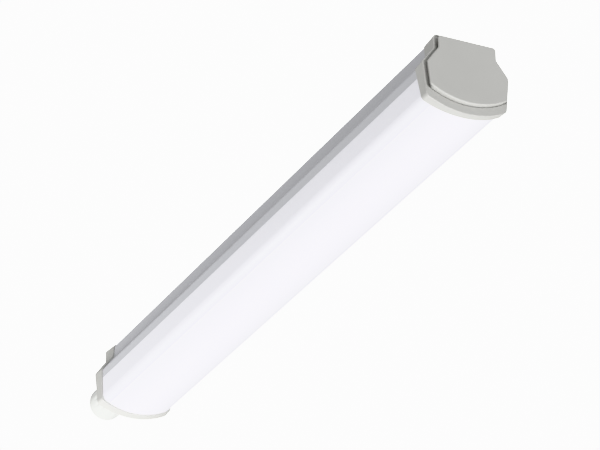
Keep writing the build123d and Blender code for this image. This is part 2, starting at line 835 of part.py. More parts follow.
contact_face_x = barrel_x - contact_setback
stem_clear_x = flange_x + stem_length + straight_lead
input_x = terminal_spots[1] - terminal_length / 2 + terminal_pocket
output_x = terminal_spots[0] + terminal_length / 2 - terminal_pocket
low_contact_y = contact_circle_radius * sin(radians(360 / contact_count))
low_contact_z = connector_z - contact_circle_radius / 2
earth_contact_z = connector_z + contact_circle_radius
earth_barrel_z = tray_top_z + earth_barrel_radius
earth_wire_end_x = earth_x - earth_tag_radius - earth_barrel_length + terminal_pocket

for wire_name, way in (("live", -1), ("neutral", 1)):
    mains_route = [
        (contact_face_x, way * low_contact_y, low_contact_z),
        (stem_clear_x, way * low_contact_y, low_contact_z),
        (input_x - long_lead, way * mains_y, wire_z),
        (input_x, way * mains_y, wire_z),
    ]
    write(wire(mains_route, mains_wire_radius, wire_name), f"wire_{wire_name}")

earth_route = [
    (contact_face_x, 0, earth_contact_z),
    (stem_clear_x, 0, earth_contact_z),
    (earth_wire_end_x - 2 * straight_lead, earth_y / 2, (earth_contact_z + earth_barrel_z) / 2),
    (earth_wire_end_x - straight_lead, earth_y, earth_barrel_z),
    (earth_wire_end_x, earth_y, earth_barrel_z),
]
write(wire(earth_route, mains_wire_radius, "earth"), "wire_earth")

for wire_name, way in (("plus", 1), ("minus", -1)):
    dc_route = [
        (output_x, way * dc_y, wire_z),
        (dc_drop_x, way * dc_y, wire_z),
        (wire_hole_radius - dc_y, way * dc_y, link_z),
        (board_gap / 2 + connector_pocket_depth, way * dc_y, link_z),
    ]
    write(wire(dc_route, dc_wire_radius, wire_name), f"wire_dc_{wire_name}")


def link_wires():
    """Two straight wires between the connectors of the two boards."""
    with BuildPart() as links:
        with BuildSketch(Plane.YZ.offset(-board_gap / 2 - connector_pocket_depth)):
            with Locations((link_y, link_z), (-link_y, link_z)):
                Circle(dc_wire_radius)
        extrude(amount=board_gap + 2 * connector_pocket_depth)
    return links.part


def earth_tag():
    """Ring terminal crimped on the earth wire and screwed to the tray."""
    barrel_end = earth_x - earth_tag_radius
    with BuildPart() as tag:
        with BuildSketch(Plane.XY.offset(tray_top_z)):
            with Locations((earth_x, earth_y)):
                Circle(earth_tag_radius)
            with Locations((barrel_end, earth_y)):
                Rectangle(earth_tag_neck, 2 * earth_barrel_radius)
            with Locations((earth_x, earth_y)):
                Circle(board_screw_radius + running_gap, mode=Mode.SUBTRACT)
        extrude(amount=earth_tag_thickness)
        with BuildSketch(Plane.YZ.offset(barrel_end - earth_barrel_length)):
            with Locations((earth_y, earth_barrel_z)):
                Circle(earth_barrel_radius)
        extrude(amount=earth_barrel_length)
        with BuildSketch(Plane.YZ.offset(barrel_end - earth_barrel_length)):
            with Locations((earth_y, earth_barrel_z)):
                Circle(mains_wire_radius + running_gap)
        extrude(amount=terminal_pocket, mode=Mode.SUBTRACT)
    return tag.part


write(link_wires(), "link_wires")
write(earth_tag(), "earth_tag")
write(pan_screws([(earth_x, earth_y)], tray_top_z + earth_tag_thickness, -driver_screw_reach), "earth_screw")


# ---------------------------------------------------------------- mounting clips
def mounting_clip(x):
    """Spring-steel clip: a plate screwed to the ceiling and two arms that hook under the channel's lips."""
    hook_top_z = lip_bottom_z - clip_hook_gap
    hook_bottom_z = hook_top_z - clip_arm_thickness
    with BuildPart() as clip:
        with BuildSketch(Plane.YZ.offset(x - clip_length / 2)):
            with Locations((0, -clip_thickness / 2)):
                Rectangle(2 * clip_plate_half, clip_thickness)
            arm_middle = clip_arm_outer - clip_arm_thickness / 2
            with Locations((arm_middle, hook_bottom_z / 2), (-arm_middle, hook_bottom_z / 2)):
                Rectangle(clip_arm_thickness, -hook_bottom_z)
            hook_middle = clip_arm_outer + clip_hook_reach / 2
            hook_z = (hook_top_z + hook_bottom_z) / 2
            with Locations((hook_middle, hook_z), (-hook_middle, hook_z)):
                Rectangle(clip_hook_reach, clip_arm_thickness)
        extrude(amount=clip_length)
        with BuildSketch(Plane.XY):
            with Locations((x, 0)):
                Circle(clip_hole_radius)
        extrude(amount=-clip_thickness, mode=Mode.SUBTRACT)
        plate_corners = clip.edges().filter_by(Axis.Z).filter_by(
            lambda e: abs(e.center().Y) > clip_plate_half - fit_gap
        )
        fillet(plate_corners, clip_hole_radius)
    return clip.part


for clip_name, clip_side in (("near", 1), ("far", -1)):
    write(mounting_clip(clip_side * clip_x), f"mounting_clip_{clip_name}")
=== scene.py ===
"""A ceiling batten of LED strips: the finishes, the detailed pieces, the light and the viewpoint.

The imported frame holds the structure. Finishes and sub-assemblies give their lengths in millimetres,
and a mesh is scaled to metres when its piece is finished. The studio and the viewpoint are in metres.
X runs along the batten, towards its blank end, and +Z is the ceiling's side.
"""

import json
import logging
import math
from dataclasses import dataclass, field
from enum import Enum
from typing import Protocol

import bmesh
import bpy
from bmesh.types import BMEdge, BMesh, BMFace, BMVert
from mathutils import Matrix, Vector


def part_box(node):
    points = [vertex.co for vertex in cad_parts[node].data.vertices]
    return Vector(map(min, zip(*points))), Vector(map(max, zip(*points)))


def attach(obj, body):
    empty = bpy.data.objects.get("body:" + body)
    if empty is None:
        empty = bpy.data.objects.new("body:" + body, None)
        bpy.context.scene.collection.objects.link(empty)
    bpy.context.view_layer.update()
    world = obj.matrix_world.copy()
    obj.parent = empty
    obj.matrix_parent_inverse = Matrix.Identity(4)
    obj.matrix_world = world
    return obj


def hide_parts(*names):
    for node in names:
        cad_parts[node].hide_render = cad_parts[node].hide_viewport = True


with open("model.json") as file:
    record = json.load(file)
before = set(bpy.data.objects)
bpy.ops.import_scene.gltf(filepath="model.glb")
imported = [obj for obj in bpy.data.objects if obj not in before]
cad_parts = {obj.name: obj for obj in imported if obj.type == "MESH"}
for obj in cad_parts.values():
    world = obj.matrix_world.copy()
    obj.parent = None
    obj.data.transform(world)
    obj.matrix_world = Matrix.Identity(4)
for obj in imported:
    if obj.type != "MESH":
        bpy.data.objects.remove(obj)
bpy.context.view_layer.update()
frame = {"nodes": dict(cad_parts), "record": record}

log = logging.getLogger("batten")
MM = 0.001
WELD = 1e-4
SMOOTH_ANGLE = math.radians(32)
Colour = tuple[float, float, float]
Triple = tuple[float, float, float]
Profile = list[tuple[float, float]]
Socket = bpy.types.NodeSocket


class End(Enum):
    """The two ends of the batten, with the side of X that each is on."""

    NEAR = 1
    FAR = -1

    @property
    def word(self) -> str:
        """The end's name as the frame's nodes and bodies spell it."""
        return self.name.lower()


class Axis(Enum):
    """The direction that a surface was worked in, as the scales that draw its pattern out."""

    X = (0.04, 1.0, 1.0)
    Y = (1.0, 0.04, 1.0)
    NONE = (1.0, 1.0, 1.0)


class Rounding(Enum):
    """What a bevel rounds off, in the operator's own words."""

    EDGES = "EDGES"
    CORNERS = "VERTICES"


# ---------------------------------------------------------------- finishes
class Finish(Protocol):
    """What every finish has."""

    @property
    def name(self) -> str:
        """The name of its material."""

    def material(self) -> bpy.types.Material:
        """Make the finish as a node material."""


class Graph:
    """A material's node tree with one principled shader, and short ways to add and join nodes."""

    def __init__(self, name: str) -> None:
        """Start a tree with a shader, an output and the object coordinates.

        Args:
            name: the material's name.
        """
        self.material = bpy.data.materials.new(name)
        self.material.use_nodes = True
        self.tree = self.material.node_tree
        self.tree.nodes.clear()
        self.shader = self.add("ShaderNodeBsdfPrincipled")
        output = self.add("ShaderNodeOutputMaterial")
        self.join(self.shader.outputs["BSDF"], output.inputs["Surface"])
        self.place = self.add("ShaderNodeTexCoord").outputs["Object"]

    def add(self, kind: str, **settings: object) -> bpy.types.Node:
        """Add a node.

        Args:
            kind: the node's type.
            settings: the node's properties to set.

        Returns:
            The new node.
        """
        node = self.tree.nodes.new(kind)
        for key, value in settings.items():
            setattr(node, key, value)
        return node

    def join(self, out: Socket, into: Socket) -> None:
        """Join an output to an input."""
        self.tree.links.new(out, into)

    def stretched(self, stretch: Triple) -> Socket:
        """Scale the object coordinates differently along each axis.

        Args:
            stretch: the scales along X, Y and Z.

        Returns:
            The scaled coordinates.
        """
        mapping = self.add("ShaderNodeMapping")
        mapping.inputs["Scale"].default_value = stretch
        self.join(self.place, mapping.inputs["Vector"])
        return mapping.outputs["Vector"]

    def noise(self, per_metre: float, detail: float, axis: Axis = Axis.NONE) -> Socket:
        """Make a noise pattern.

        Args:
            per_metre: how many cells the pattern has in a metre.
            detail: how many finer layers lie on it.
            axis: the direction in which the pattern is drawn out.

        Returns:
            The pattern's value, from 0 to 1.
        """
        node = self.add("ShaderNodeTexNoise")
        node.inputs["Scale"].default_value = per_metre
        node.inputs["Detail"].default_value = detail
        self.join(self.stretched(axis.value), node.inputs["Vector"])
        return node.outputs["Fac"]

    def ramp(self, value: Socket, stops: list[tuple[float, Colour]]) -> Socket:
        """Turn a value into a colour.

        Args:
            value: the value to read.
            stops: positions from 0 to 1 with their colours.

        Returns:
            The colour.
        """
        node = self.add("ShaderNodeValToRGB")
        elements = node.color_ramp.elements
        while len(elements) < len(stops):
            elements.new(0.5)
        for element, (position, colour) in zip(elements, stops):
            element.position = position
            element.color = (*colour, 1.0)
        self.join(value, node.inputs["Fac"])
        return node.outputs["Color"]

    def mix(self, share: Socket, first: Colour, second: Colour) -> Socket:
        """Mix two fixed colours by a share."""
        return self.ramp(share, [(0.0, first), (1.0, second)])

    def spread(self, value: Socket, low: float, high: float) -> Socket:
        """Spread a value of 0 to 1 over another range.

        Args:
            value: the value to read.
            low: what 0 becomes.
            high: what 1 becomes.

        Returns:
            The new value.
        """
        node = self.add("ShaderNodeMapRange")
        node.inputs["To Min"].default_value = low
        node.inputs["To Max"].default_value = high
        self.join(value, node.inputs["Value"])
        return node.outputs["Result"]

    def calculate(self, operation: str, first: Socket, second: Socket | float) -> Socket:
        """Work out one math operation.

        Args:
            operation: the math node's word for it.
            first: the first value.
            second: the second value, as a socket or a number.

        Returns:
            The result.
        """
        node = self.add("ShaderNodeMath", operation=operation)
        self.join(first, node.inputs[0])
        if isinstance(second, bpy.types.NodeSocket):
            self.join(second, node.inputs[1])
        else:
            node.inputs[1].default_value = second
        return node.outputs[0]

    def colour(self, out: Socket) -> None:
        """Take the base colour from a socket."""
        self.join(out, self.shader.inputs["Base Color"])

    def clouded(
        self, clouds: Socket, colour: Colour, share: float, low: float = 0.3, high: float = 0.7
    ) -> None:
        """Colour the surface, with darker clouds.

        Args:
            clouds: the pattern of the clouds.
            colour: the colour between them.
            share: how much of its light the colour keeps inside them.
            low: the pattern's value where a cloud is full.
            high: the pattern's value where it ends.
        """
        self.colour(self.ramp(clouds, [(low, darker(colour, share)), (high, colour)]))

    def roughness(self, pattern: Socket, low: float, high: float) -> None:
        """Let the roughness follow a pattern between two values."""
        self.join(self.spread(pattern, low, high), self.shader.inputs["Roughness"])

    def bump(self, heights: list[tuple[Socket, float]], edge: float = 0.0) -> None:
        """Raise the surface by patterns.

        Args:
            heights: the patterns, each with its depth in millimetres.
            edge: how far sharp edges are softened, in millimetres.
        """
        normal = None
        if edge:
            softened = self.add("ShaderNodeBevel", samples=4)
            softened.inputs["Radius"].default_value = edge * MM
            normal = softened.outputs["Normal"]
        for height, depth in heights:
            node = self.add("ShaderNodeBump")
            node.inputs["Distance"].default_value = depth * MM
            self.join(height, node.inputs["Height"])
            if normal:
                self.join(normal, node.inputs["Normal"])
            normal = node.outputs["Normal"]
        self.join(normal, self.shader.inputs["Normal"])

    def set(self, **values: object) -> None:
        """Set the shader's own sockets.

        Args:
            values: the sockets' names, with underscores for spaces, and their values.
        """
        for key, value in values.items():
            socket = self.shader.inputs[key.replace("_", " ")]
            socket.default_value = value


def darker(colour: Colour, share: float) -> Colour:
    """The colour with that share of its light."""
    return (colour[0] * share, colour[1] * share, colour[2] * share)


@dataclass(frozen=True)
class Moulding:
    """Moulded or extruded plastic: faint flow clouds, a fine textured skin and a slightly uneven shine."""

    name: str
    colour: Colour
    rough: float = 0.45
    shinier: float = 0.05
    duller: float = 0.07
    grain: float = 0.012
    grain_per_metre: float = 2600.0
    drawn: Axis = Axis.NONE
    clouding: float = 0.96
    clouds_per_metre: float = 28.0
    wave_depth: float = 0.05
    waves_per_metre: float = 9.0
    soft_edge: float = 0.25
    refraction: float = 1.5
    glow_through: float = 0.0
    scatter: float = 0.004

    def material(self) -> bpy.types.Material:
        """Make the finish as a node material.

        Returns:
            The new material.
        """
        graph = Graph(self.name)
        clouds = graph.noise(self.clouds_per_metre, detail=3.0, axis=self.drawn)
        graph.clouded(clouds, self.colour, self.clouding)
        skin = graph.noise(self.grain_per_metre, detail=2.0, axis=self.drawn)
        waves = graph.noise(self.waves_per_metre, detail=4.0, axis=self.drawn)
        graph.roughness(waves, self.rough - self.shinier, self.rough + self.duller)
        graph.bump([(waves, self.wave_depth), (skin, self.grain)], edge=self.soft_edge)
        graph.set(IOR=self.refraction, Subsurface_Weight=self.glow_through)
        graph.set(Subsurface_Radius=(self.scatter,) * 3)
        return graph.material


@dataclass(frozen=True)
class OpalTrough:
    """Opal plastic lit from behind by strips along its middle: bright below, dimmer up its sides."""

    name: str
    colour: Colour
    tint: Colour
    half_width: float
    glow: tuple[tuple[float, float], ...]
    streaks_per_metre: float = 60.0
    streak_shift: float = 0.01
    clouding: float = 0.985
    clouds_per_metre: float = 20.0
    rough: tuple[float, float] = (0.32, 0.42)
    skin_depth: float = 0.004
    skin_per_metre: float = 900.0
    refraction: float = 1.49
    haze: float = 0.2
    scatter: float = 0.06

    def material(self) -> bpy.types.Material:
        """Make the finish as a node material.

        Returns:
            The new material.
        """
        graph = Graph(self.name)
        parts = graph.add("ShaderNodeSeparateXYZ")
        graph.join(graph.place, parts.inputs["Vector"])
        across = graph.calculate("ABSOLUTE", parts.outputs["Y"], 0.0)
        share = graph.calculate("DIVIDE", across, self.half_width * MM)
        streaks = graph.noise(self.streaks_per_metre, detail=3.0, axis=Axis.X)
        shift = graph.spread(streaks, -self.streak_shift, self.streak_shift)
        share = graph.calculate("ADD", share, shift)
        stops = [(place / self.half_width, darker(self.tint, light)) for place, light in self.glow]
        graph.join(graph.ramp(share, stops), graph.shader.inputs["Emission Color"])
        clouds = graph.noise(self.clouds_per_metre, detail=2.0, axis=Axis.X)
        graph.clouded(clouds, self.colour, self.clouding)
        graph.roughness(streaks, *self.rough)
        graph.bump([(graph.noise(self.skin_per_metre, detail=2.0, axis=Axis.X), self.skin_depth)])
        graph.set(Emission_Strength=1.0, IOR=self.refraction)
        graph.set(Subsurface_Weight=self.haze, Subsurface_Radius=(self.scatter,) * 3)
        return graph.material


@dataclass(frozen=True)
class PaleFloor:
    """Matt pale floor paint, lifted by a faint glow so that it stays pale far from the lights."""

    name: str
    colour: Colour
    glow: float
    rough: float = 0.9
    clouding: float = 0.99
    clouds_per_metre: float = 0.8

    def material(self) -> bpy.types.Material:
        """Make the finish as a node material.

        Returns:
            The new material.
        """
        graph = Graph(self.name)
        graph.clouded(graph.noise(self.clouds_per_metre, detail=2.0), self.colour, self.clouding)
        graph.set(Roughness=self.rough, Emission_Strength=self.glow, Emission_Color=(*self.colour, 1.0))
        return graph.material


@dataclass(frozen=True)
class Metal:
    """Rolled, turned or plated metal with fine marks along one direction."""

    name: str
    colour: Colour
    rough: float = 0.3
    shinier: float = 0.08
    duller: float = 0.12
    drawn: Axis = Axis.NONE
    mark_depth: float = 0.006
    marks_per_metre: float = 4000.0
    staining: float = 0.86
    stains_per_metre: float = 90.0
    soft_edge: float = 0.15

    def material(self) -> bpy.types.Material:
        """Make the finish as a node material.

        Returns:
            The new material.
        """
        graph = Graph(self.name)
        marks = graph.noise(self.marks_per_metre, detail=3.0, axis=self.drawn)
        stains = graph.noise(self.stains_per_metre, detail=4.0)
        graph.clouded(stains, self.colour, self.staining, low=0.35, high=0.65)
        graph.roughness(marks, self.rough - self.shinier, self.rough + self.duller)
        graph.bump([(marks, self.mark_depth)], edge=self.soft_edge)
        graph.set(Metallic=1.0)
        return graph.material


@dataclass(frozen=True)
class PrintedBoard:
    """Solder mask over copper tracks, with the tracks standing up a little and showing lighter."""

    name: str
    mask: Colour
    over_copper: Colour
    tracks_per_metre: float = 260.0
    track_length: float = 2.6
    track_height: float = 0.03
    gap: float = 0.11
    gap_blur: float = 0.2
    rough: tuple[float, float] = (0.25, 0.4)
    gloss_per_metre: float = 300.0
    coat: float = 0.3
    coat_rough: float = 0.15

    def material(self) -> bpy.types.Material:
        """Make the finish as a node material.

        Returns:
            The new material.
        """
        graph = Graph(self.name)
        tracks = graph.add("ShaderNodeTexBrick", offset=0.37, squash=1.6, squash_frequency=3)
        tracks.inputs["Scale"].default_value = self.tracks_per_metre
        tracks.inputs["Mortar Size"].default_value = self.gap
        tracks.inputs["Mortar Smooth"].default_value = self.gap_blur
        tracks.inputs["Brick Width"].default_value = self.track_length
        graph.join(graph.place, tracks.inputs["Vector"])
        graph.colour(graph.mix(tracks.outputs["Fac"], self.mask, self.over_copper))
        graph.roughness(graph.noise(self.gloss_per_metre, detail=3.0), *self.rough)
        graph.bump([(tracks.outputs["Fac"], self.track_height)])
        graph.set(Coat_Weight=self.coat, Coat_Roughness=self.coat_rough)
        return graph.material


@dataclass(frozen=True)
class Phosphor:
    """Yellow phosphor gel, lit, with a finely speckled surface."""

    name: str
    colour: Colour
    pale: Colour
    strength: float
    specks_per_metre: float = 3500.0
    rough: tuple[float, float] = (0.25, 0.5)

    def material(self) -> bpy.types.Material:
        """Make the finish as a node material.

        Returns:
            The new material.
        """
        graph = Graph(self.name)
        specks = graph.noise(self.specks_per_metre, detail=3.0)
        tone = graph.ramp(specks, [(0.35, self.colour), (0.7, self.pale)])
        graph.colour(tone)
        graph.join(tone, graph.shader.inputs["Emission Color"])
        graph.roughness(specks, *self.rough)
        graph.set(Emission_Strength=self.strength)
        return graph.material


@dataclass(frozen=True)
class Sleeve:
    """Shrink sleeve or tape wound round a can or a coil, in turns along X with a fine overlap."""

    name: str
    colour: Colour
    second: Colour
    turns_per_metre: float
    unevenness: float = 0.6
    overlap: float = 0.05
    rough: tuple[float, float] = (0.27, 0.45)
    gloss_per_metre: float = 400.0

    def material(self) -> bpy.types.Material:
        """Make the finish as a node material.

        Returns:
            The new material.
        """
        graph = Graph(self.name)
        wave = graph.add("ShaderNodeTexWave", wave_type="BANDS", bands_direction="X", wave_profile="SAW")
        wave.inputs["Scale"].default_value = self.turns_per_metre
        wave.inputs["Distortion"].default_value = self.unevenness
        graph.join(graph.place, wave.inputs["Vector"])
        graph.colour(graph.mix(wave.outputs["Fac"], self.colour, self.second))
        graph.roughness(graph.noise(self.gloss_per_metre, detail=3.0), *self.rough)
        graph.bump([(wave.outputs["Fac"], self.overlap)])
        return graph.material


@dataclass(frozen=True)
class Insulation:
    """Soft PVC round a wire, plain or with a second colour in long stripes."""

    name: str
    colour: Colour
    stripe: Colour
    stripes_per_metre: float = 150.0
    wander: float = 1.5
    rough: tuple[float, float] = (0.35, 0.5)
    skin_depth: float = 0.01
    skin_per_metre: float = 1500.0

    def material(self) -> bpy.types.Material:
        """Make the finish as a node material.

        Returns:
            The new material.
        """
        graph = Graph(self.name)
        wave = graph.add("ShaderNodeTexWave", wave_type="BANDS", bands_direction="DIAGONAL")
        wave.inputs["Scale"].default_value = self.stripes_per_metre
        wave.inputs["Distortion"].default_value = self.wander
        graph.join(graph.place, wave.inputs["Vector"])
        graph.colour(graph.ramp(wave.outputs["Fac"], [(0.45, self.colour), (0.55, self.stripe)]))
        skin = graph.noise(self.skin_per_metre, detail=3.0)
        graph.roughness(skin, *self.rough)
        graph.bump([(skin, self.skin_depth)])
        return graph.material


def plain_wire(name: str, colour: Colour) -> Insulation:
    """Insulation of one colour, a little uneven along its length."""
    return Insulation(name, colour, darker(colour, 0.9))


FINISHES: dict[str, Finish] = {
    "housing_grey": Moulding(
        "grey_extrusion",
        (0.56, 0.565, 0.592),
        rough=0.4,
        grain=0.003,
        grain_per_metre=1500.0,
        drawn=Axis.X,
        clouding=0.985,
    ),
    "opal": OpalTrough(
        "opal_trough",
        (0.80, 0.80, 0.84),
        tint=(0.96, 0.93, 1.0),
        half_width=35.0,
        glow=((0.0, 0.95), (10.0, 0.75), (18.0, 0.42), (22.0, 0.3), (25.0, 0.15), (28.0, 0.09)),
    ),
    "collar_grey": Moulding("grey_moulding", (0.50, 0.50, 0.482), rough=0.5, grain=0.02),
    "connector_grey": Moulding("pale_nylon", (0.66, 0.67, 0.65), rough=0.42),
    "seal_rubber": Moulding("black_rubber", (0.02, 0.02, 0.022), rough=0.75, grain=0.03, clouding=0.8),
    "seal_clear": Moulding("silicone", (0.62, 0.63, 0.64), rough=0.35, grain=0.008, glow_through=0.3),
    "steel": Metal("zinc_plate", (0.62, 0.62, 0.64), rough=0.32),
    "spring_steel": Metal("rolled_stainless", (0.56, 0.56, 0.57), rough=0.42, drawn=Axis.Y),
    "tray_white": Moulding(
        "white_powder_coat", (0.82, 0.82, 0.82), rough=0.4, grain=0.03, grain_per_metre=900.0, clouding=0.99
    ),
    "board_white": PrintedBoard(
        "white_board", (0.86, 0.86, 0.83), (0.80, 0.79, 0.74), tracks_per_metre=120.0
    ),
    "led": Moulding("led_package", (0.84, 0.84, 0.80), rough=0.35, grain=0.004),
    "board_green": PrintedBoard("green_board", (0.01, 0.11, 0.035), (0.03, 0.2, 0.07)),
    "driver_plastic": Moulding("white_housing", (0.78, 0.78, 0.75), rough=0.5, grain=0.025),
    "terminal_plastic": Moulding(
        "natural_nylon", (0.72, 0.71, 0.65), rough=0.4, grain=0.01, glow_through=0.1
    ),
    "ferrite": Moulding("ferrite", (0.02, 0.02, 0.022), rough=0.6, grain=0.03, clouding=0.7),
    "capacitor_can": Sleeve("can_sleeve", (0.01, 0.015, 0.045), (0.015, 0.02, 0.06), turns_per_metre=60.0),
    "brass": Metal("turned_brass", (0.75, 0.53, 0.22), rough=0.25),
    "wire_brown": plain_wire("brown_insulation", (0.15, 0.055, 0.02)),
    "wire_blue": plain_wire("blue_insulation", (0.02, 0.07, 0.4)),
    "wire_earth": Insulation("earth_insulation", (0.08, 0.3, 0.02), (0.7, 0.6, 0.03)),
    "wire_red": plain_wire("red_insulation", (0.45, 0.015, 0.015)),
    "wire_black": plain_wire("black_insulation", (0.012, 0.012, 0.012)),
}
PHOSPHOR = Phosphor("phosphor_gel", (0.85, 0.62, 0.16), (0.95, 0.78, 0.32), strength=1.5)
FLOOR_PAINT = PaleFloor("pale_floor", (0.86, 0.86, 0.86), glow=0.22)


class Paintbox:
    """Makes each finish once, and keeps it for every piece that wears it."""

    def __init__(self) -> None:
        """Start with no materials made."""
        self.made: dict[str, bpy.types.Material] = {}

    def material(self, finish: Finish) -> bpy.types.Material:
        """Find a finish's material, made on its first use.

        Args:
            finish: the finish.

        Returns:
            Its material.
        """
        if finish.name not in self.made:
            self.made[finish.name] = finish.material()
        return self.made[finish.name]

    def dress(self, piece: bpy.types.Object, *finishes: Finish) -> None:
        """Give a piece its finishes.

        Args:
            piece: the piece's object.
            finishes: its finishes, in the order of its material indices.
        """
        piece.data.materials.clear()
        for finish in finishes:
            piece.data.materials.append(self.material(finish))


PAINT = Paintbox()


def dress_nodes(*nodes: str) -> None:
    """Give CAD nodes the finishes that the record's slots for them name.

    Args:
        nodes: the nodes' names.
    """
    slots = {part["node"]: part["material_slot"] for part in frame["record"]["subparts"]}
    for node in nodes:
        PAINT.dress(frame["nodes"][node], FINISHES[slots[node]])
        log.info("%s keeps its CAD shape in %s", node, slots[node])


# ---------------------------------------------------------------- shaping
class Shape:
    """A mesh being shaped in millimetres, which becomes one finished piece."""

    def __init__(self) -> None:
        """Start with an empty mesh."""
        self.bm: BMesh = bmesh.new()

    def bevel(
        self,
        parts: list[BMEdge] | list[BMVert],
        width: float,
        segments: int,
        rounding: Rounding = Rounding.EDGES,
    ) -> None:
        """Round something off.

        Args:
            parts: the edges or the corners.
            width: how far the rounding reaches.
            segments: how many flats it has.
            rounding: whether the parts are edges or corners.
        """
        bmesh.ops.bevel(
            self.bm,
            geom=parts,
            offset=width,
            offset_type="OFFSET",
            segments=segments,
            profile=0.5,
            affect=rounding.value,
            material=-1,
            clamp_overlap=True,
        )

    def turn(self, profile: Profile, z: float, flats: int) -> None:
        """Spin a closed profile round an axis along X.

        Args:
            profile: places along X with their radii, in order.
            z: the height of the axis.
            flats: how many flats the turned shape has.
        """
        points = [self.bm.verts.new((x, radius, z)) for x, radius in profile + [profile[0]]]
        lines = [self.bm.edges.new(pair) for pair in zip(points, points[1:])]
        bmesh.ops.spin(
            self.bm,
            geom=points + lines,
            cent=(0, 0, z),
            axis=(1, 0, 0),
            angle=math.tau,
            steps=flats,
            use_merge=True,
        )

    def block(self, centre: Triple, size: Triple) -> list[BMVert]:
        """Add a box.

        Args:
            centre: its middle.
            size: its lengths along X, Y and Z.

        Returns:
            Its corners.
        """
        made = bmesh.ops.create_cube(self.bm, size=1.0)["verts"]
        bmesh.ops.scale(self.bm, vec=size, verts=made)
        bmesh.ops.translate(self.bm, vec=centre, verts=made)
        return made

    def piece(self, name: str) -> bpy.types.Object:
        """Close the shape up and make it a piece, in metres, at the origin.

        Args:
            name: the piece's name.

        Returns:
            The new object.
        """
        bmesh.ops.remove_doubles(self.bm, verts=self.bm.verts[:], dist=WELD)
        bmesh.ops.recalc_face_normals(self.bm, faces=self.bm.faces[:])
        bmesh.ops.scale(self.bm, vec=(MM, MM, MM), verts=self.bm.verts[:])
        mesh = bpy.data.meshes.new(name)
        self.bm.to_mesh(mesh)
        self.bm.free()
        mesh.shade_smooth()
        mesh.set_sharp_from_angle(angle=SMOOTH_ANGLE)
        made = bpy.data.objects.new(name, mesh)
        bpy.context.scene.collection.objects.link(made)
        return made


def box_mm(node: str) -> tuple[Vector, Vector]:
    """The lowest and highest corners of a CAD node, in millimetres."""
    low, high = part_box(node)
    return low / MM, high / MM


def stand_in(piece: bpy.types.Object, body: str, slot: str, *nodes: str) -> None:
    """Put a finished piece in the place of CAD nodes.

    Args:
        piece: the piece's object.
        body: the body that it rides on.
        slot: its material slot; not used.
        nodes: the nodes that it stands for.
    """
    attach(piece, body)
    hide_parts(*nodes)
    log.info("%s: %d faces, for %s", piece.name, len(piece.data.polygons), ", ".join(nodes))


# ---------------------------------------------------------------- sub-assemblies
class Assembly(Protocol):
    """What main builds."""

    def build(self) -> None:
        """Make and dress everything in it."""


@dataclass
class Shell:
    """The extruded housing, the opal trough under it and the cords that seal them."""

    nodes: tuple[str, ...] = ("housing_profile", "diffuser", "diffuser_seals")

    def build(self) -> None:
        """Dress the long parts."""
        dress_nodes(*self.nodes)


@dataclass
class EndCap:
    """One end: collar, gasket, screws and snap-on cover, as the CAD shapes them."""

    end: End
    parts: tuple[str, ...] = ("end_collar", "end_seal", "end_screws", "end_cover")

    def build(self) -> None:
        """Dress the end's parts."""
        dress_nodes(*(f"{part}_{self.end.word}" for part in self.parts))


@dataclass
class LedBoard:
    """One printed board's two rows of LED packages, each a white cup round a phosphor well."""

    end: End
    per_row: int = 21
    pitch: float = 11.0
    row_y: float = 7.0
    size: Triple = (2.8, 3.5, 0.8)
    cup_wall: float = 0.42
    well_depth: float = 0.22
    edge_round: float = 0.1

    def package(self, shape: Shape, centre: Triple) -> None:
        """Add one package: a softened block whose lower face is sunk into a phosphor well.

        Args:
            shape: the shape that it joins.
            centre: its middle.
        """
        verts = shape.block(centre, self.size)
        shape.bm.normal_update()
        faces = (face for vert in verts for face in vert.link_faces)
        window = min(faces, key=lambda face: face.calc_center_median().z)
        edges = dict.fromkeys(edge for vert in verts for edge in vert.link_edges)
        sides = [edge for edge in edges if edge not in window.edges]
        bmesh.ops.inset_region(shape.bm, faces=[window], thickness=self.cup_wall, depth=0.0)
        bmesh.ops.translate(shape.bm, vec=(0, 0, self.well_depth), verts=window.verts)
        window.material_index = 1
        shape.bevel([edge for edge in sides if edge.is_valid], self.edge_round, segments=1)

    def build(self) -> None:
        """Build the packages over their CAD node, and dress the board."""
        node = f"led_packages_{self.end.word}"
        low, high = box_mm(node)
        centre = (low + high) / 2
        shape = Shape()
        for row in (-self.row_y, self.row_y):
            for step in range(self.per_row):
                x = centre.x + (step - (self.per_row - 1) / 2) * self.pitch
                self.package(shape, (x, row, centre.z))
        piece = shape.piece(f"led_cups_{self.end.word}")
        PAINT.dress(piece, FINISHES["led"], PHOSPHOR)
        stand_in(piece, "batten", "led", node)
        dress_nodes(f"led_board_{self.end.word}")


@dataclass
class Gear:
    """The gear tray with its LED boards, and the driver on top of it."""

    nodes: tuple[str, ...] = (
        "gear_tray",
        "board_connectors",
        "board_screws",
        "tray_grommet",
        "driver_base",
        "driver_cover",
        "driver_circuit_board",
        "driver_transformer",
        "driver_capacitors",
        "driver_input_terminal",
        "driver_output_terminal",
        "driver_screws",
    )

    def build(self) -> None:
        """Build the LED boards, and dress the tray and the driver."""
        for end in End:
            LedBoard(end).build()
        dress_nodes(*self.nodes)


@dataclass
class Wiring:
    """Mains and low-voltage wires, and the earth tag."""

    nodes: tuple[str, ...] = (
        "wire_live",
        "wire_neutral",
        "wire_earth",
        "wire_dc_plus",
        "wire_dc_minus",
        "link_wires",
        "earth_tag",
        "earth_screw",
    )

    def build(self) -> None:
        """Dress the wires and the earth tag."""
        dress_nodes(*self.nodes)


